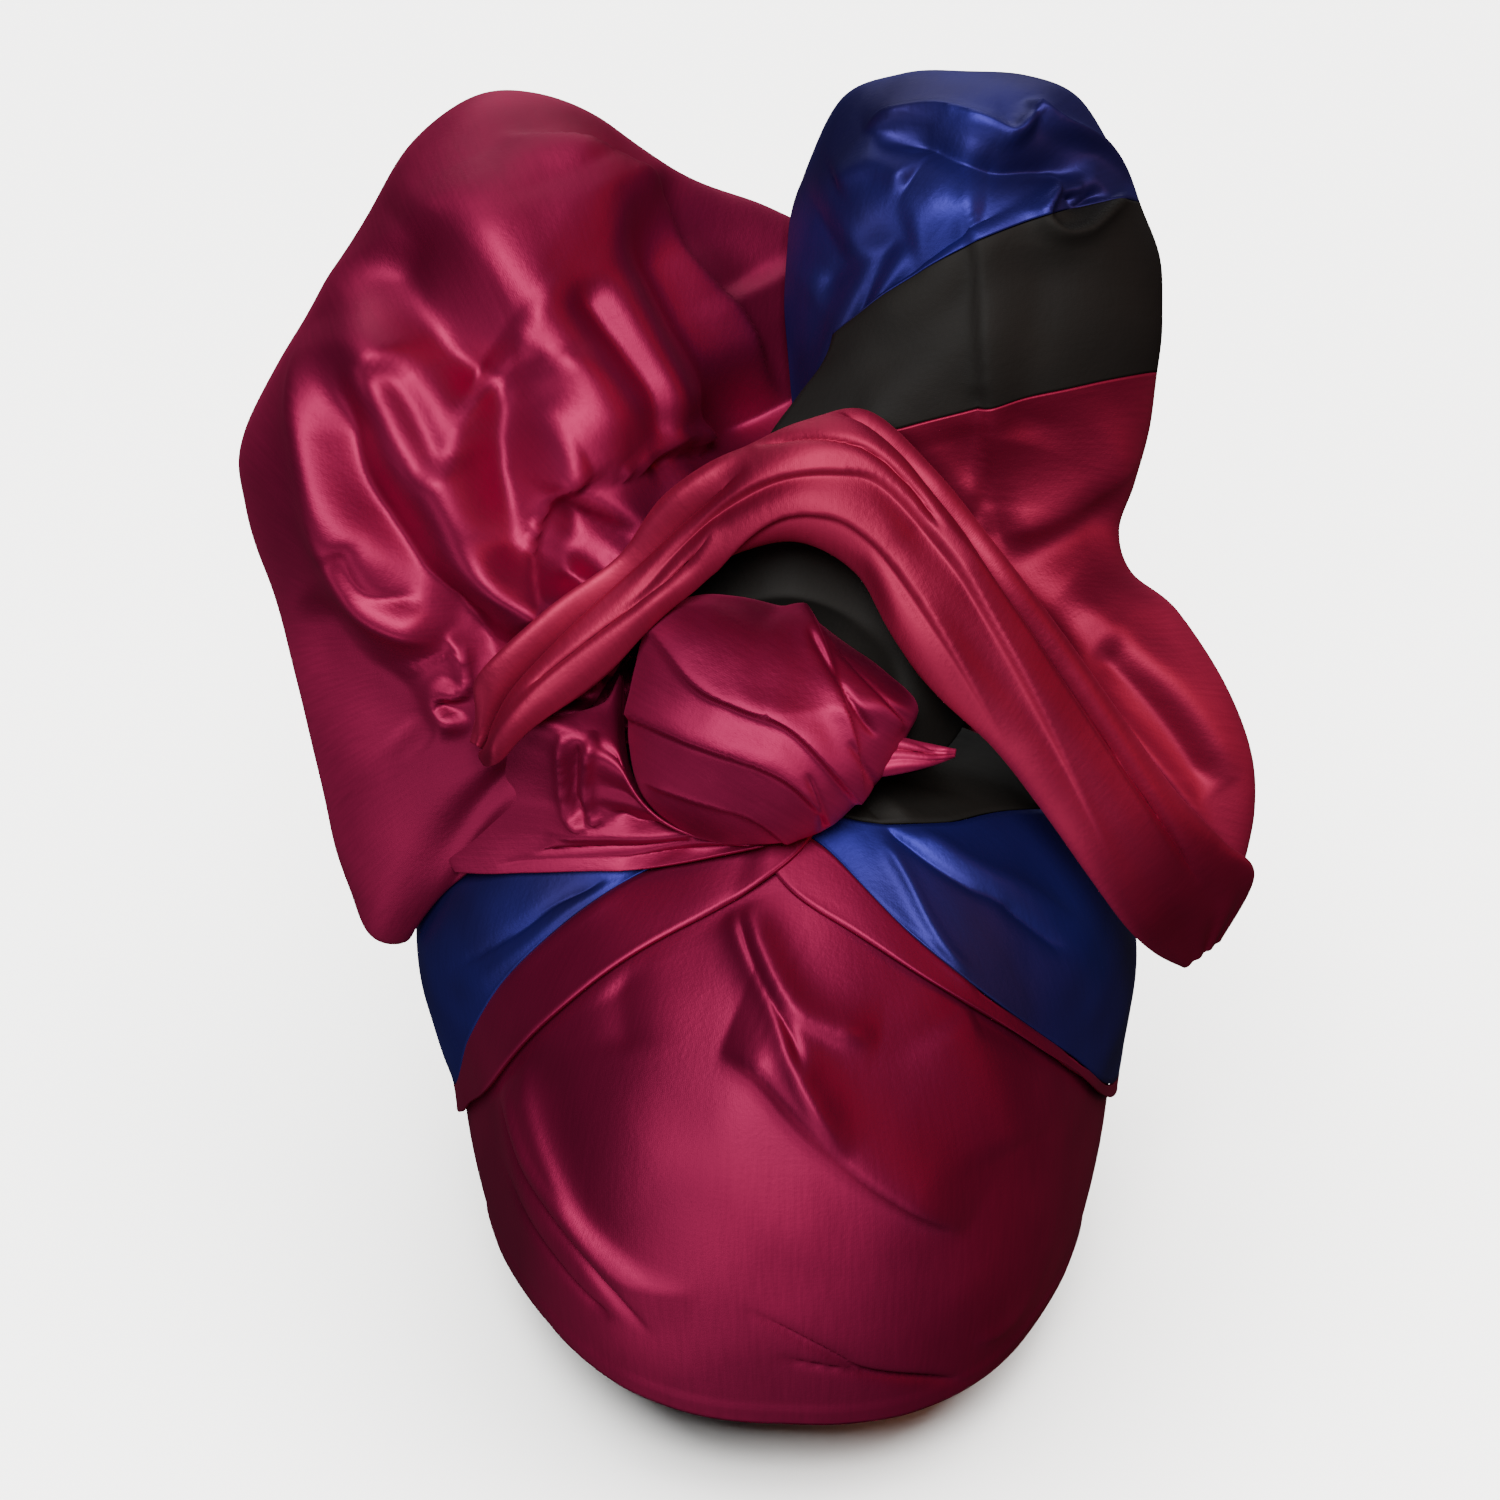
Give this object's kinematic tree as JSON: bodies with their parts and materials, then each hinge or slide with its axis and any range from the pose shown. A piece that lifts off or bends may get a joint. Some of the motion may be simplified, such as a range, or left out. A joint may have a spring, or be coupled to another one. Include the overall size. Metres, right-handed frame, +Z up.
{
  "type": "turban",
  "caption": "Satin head wrap, open below for the head, with crossed side bands, a wound knot on the crown and a large bow of puffed loops and a sash.",
  "frame": {"origin": "inside of the crown, where the wrap sits on the top of the wearer's head", "axes": "+Z up from the head, -Y the way the wearer faces, +X to the wearer's left"},
  "size_m": [0.264, 0.2191, 0.3325],
  "materials": {
    "magenta_satin": "glossy satin weave",
    "crimson_satin": "glossy satin weave",
    "blue_satin": "glossy satin weave",
    "black_satin": "soft satin weave"
  },
  "bodies": {
    "root": {"crown_cap": "magenta_satin", "band_hem": "magenta_satin", "band_blue": "blue_satin", "band_black": "black_satin", "knot": "magenta_satin", "knot_tip": "magenta_satin", "bow_neck": "black_satin", "left_loop": "magenta_satin", "right_loop_blue": "blue_satin", "right_loop_black": "black_satin", "right_loop_red": "crimson_satin", "sash": "crimson_satin", "tail": "magenta_satin"}
  },
  "joints": []
}
